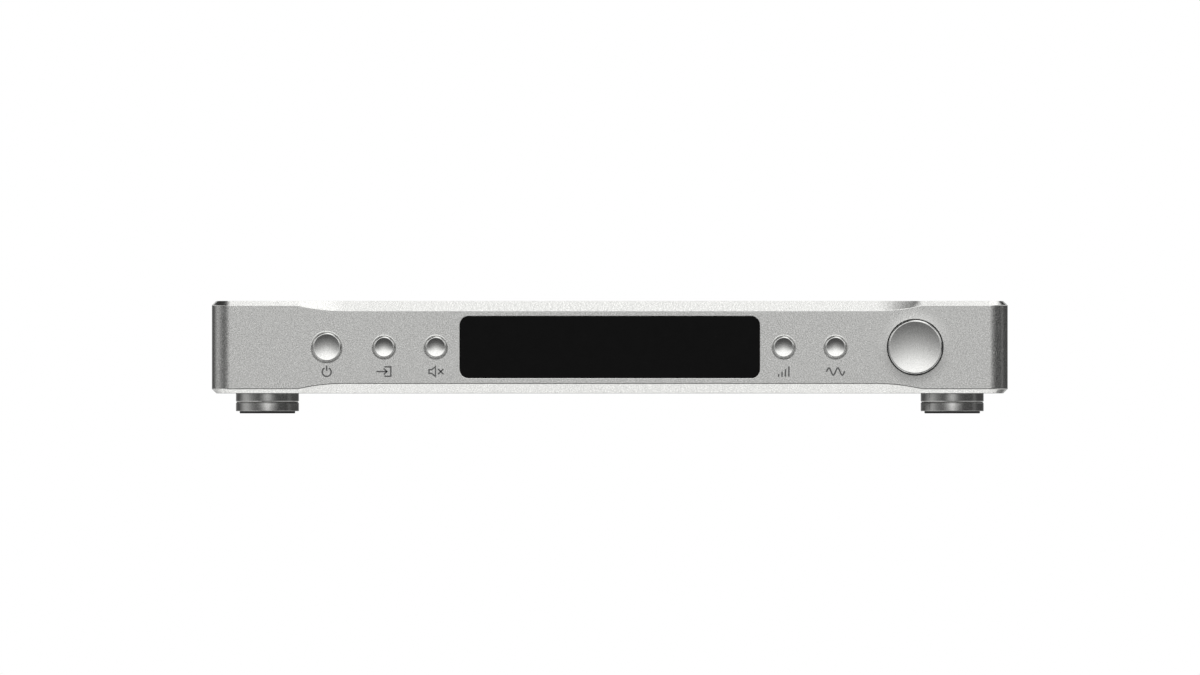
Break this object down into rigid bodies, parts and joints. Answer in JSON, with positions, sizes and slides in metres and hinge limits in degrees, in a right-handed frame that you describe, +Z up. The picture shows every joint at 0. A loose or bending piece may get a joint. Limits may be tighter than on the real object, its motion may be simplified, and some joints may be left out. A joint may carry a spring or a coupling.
{
  "type": "preamplifier",
  "caption": "Slim full-width silver preamplifier with scooped front edges, a black display window, dished push buttons, a dished volume knob and round feet",
  "frame": {"origin": "under the middle of the whole part, at the surface it stands on", "axes": "+X to the right seen from the front, +Y from the front panel to the rear, +Z up"},
  "size_m": [0.43, 0.3236, 0.0608],
  "materials": {
    "case_silver": "bead-blasted, clear anodised",
    "control_silver": "fine satin, clear anodised",
    "foot_grey": "turned satin, grey anodised",
    "sheet_black": "fine matt black paint",
    "sheet_zinc": "zinc plated",
    "window_black": "dark tinted, polished",
    "plastic_black": "moulded, fine grain",
    "rocker_black": "moulded, glossy",
    "socket_shell": "black die-cast",
    "board_green": "glass-fibre board with solder mask",
    "steel": "machined",
    "screw_steel": "dark zinc plated",
    "brass": "gold plated",
    "rubber_black": "moulded",
    "white_insulator": "moulded",
    "film_red": "moulded",
    "can_blue": "sleeved cans",
    "sink_black": "black anodised",
    "winding_amber": "varnished wrap",
    "fuse_glass": "clear tube",
    "ribbon_grey": "flat cable",
    "lead_brown": "insulated wire"
  },
  "bodies": {
    "chassis": {"front_panel": "case_silver", "side_panel_left": "case_silver", "side_panel_right": "case_silver", "top_cover": "case_silver", "bottom_plate": "sheet_black", "rear_panel": "sheet_black", "front_sheet": "sheet_zinc", "corner_brackets": "sheet_zinc", "display_window": "window_black", "display_panel": "plastic_black", "display_board": "board_green", "button_guides": "plastic_black", "push_switches": "plastic_black", "control_boards": "board_green", "encoder": "steel", "encoder_nut": "brass", "feet": "foot_grey", "foot_pads": "rubber_black", "foot_screws": "screw_steel", "main_board": "board_green", "socket_board": "board_green", "relays": "plastic_black", "film_capacitors": "film_red", "power_board": "board_green", "reservoir_capacitors": "can_blue", "heat_sink": "sink_black", "board_spacers": "steel", "ribbon_cables": "ribbon_grey", "mains_leads": "lead_brown", "transformer": "winding_amber", "transformer_clamp": "sheet_zinc", "transformer_bolt": "screw_steel", "mains_inlet": "plastic_black", "mains_terminals": "steel", "rocker_frame": "plastic_black", "xlr_sockets": "socket_shell", "xlr_contacts": "brass", "rca_shells": "brass", "rca_insulators": "white_insulator", "rca_contacts": "brass", "trigger_sockets": "plastic_black", "screws": "screw_steel"},
    "power_key": {"power_button": "control_silver", "power_plunger": "plastic_black"},
    "input_key": {"input_button": "control_silver", "input_plunger": "plastic_black"},
    "mute_key": {"mute_button": "control_silver", "mute_plunger": "plastic_black"},
    "gain_key": {"gain_button": "control_silver", "gain_plunger": "plastic_black"},
    "voicing_key": {"voicing_button": "control_silver", "voicing_plunger": "plastic_black"},
    "volume_control": {"volume_knob": "control_silver", "knob_grub_screw": "screw_steel", "encoder_shaft": "steel"},
    "mains_rocker": {"rocker": "rocker_black"},
    "fuse_carrier": {"fuse_drawer": "plastic_black", "mains_fuse": "fuse_glass"},
    "latch_tab_left": {"latch_left": "steel"},
    "latch_tab_right": {"latch_right": "steel"}
  },
  "joints": [
    {"name": "power_press", "type": "slide", "parent": "chassis", "child": "power_key", "axis": [0, 1, 0], "range_m": [0, 0.0008], "stiffness_N_per_m": 1500},
    {"name": "input_press", "type": "slide", "parent": "chassis", "child": "input_key", "axis": [0, 1, 0], "range_m": [0, 0.0008], "stiffness_N_per_m": 1500},
    {"name": "mute_press", "type": "slide", "parent": "chassis", "child": "mute_key", "axis": [0, 1, 0], "range_m": [0, 0.0008], "stiffness_N_per_m": 1500},
    {"name": "gain_press", "type": "slide", "parent": "chassis", "child": "gain_key", "axis": [0, 1, 0], "range_m": [0, 0.0008], "stiffness_N_per_m": 1500},
    {"name": "voicing_press", "type": "slide", "parent": "chassis", "child": "voicing_key", "axis": [0, 1, 0], "range_m": [0, 0.0008], "stiffness_N_per_m": 1500},
    {"name": "volume_turn", "type": "hinge", "parent": "chassis", "child": "volume_control", "pos_m": [0.165, -0.15075, 0.0358], "axis": [0, -1, 0], "continuous": true},
    {"name": "rocker_tilt", "type": "hinge", "parent": "chassis", "child": "mains_rocker", "pos_m": [-0.126, 0.14825, 0.0358], "axis": [1, 0, 0], "range_deg": [-20, 0]},
    {"name": "fuse_drawer_slide", "type": "slide", "parent": "chassis", "child": "fuse_carrier", "axis": [0, 1, 0], "range_m": [0, 0.013]},
    {"name": "latch_left_press", "type": "slide", "parent": "chassis", "child": "latch_tab_left", "axis": [0, -1, 0], "range_m": [0, 0.0014], "stiffness_N_per_m": 1200},
    {"name": "latch_right_press", "type": "slide", "parent": "chassis", "child": "latch_tab_right", "axis": [0, -1, 0], "range_m": [0, 0.0014], "stiffness_N_per_m": 1200}
  ]
}
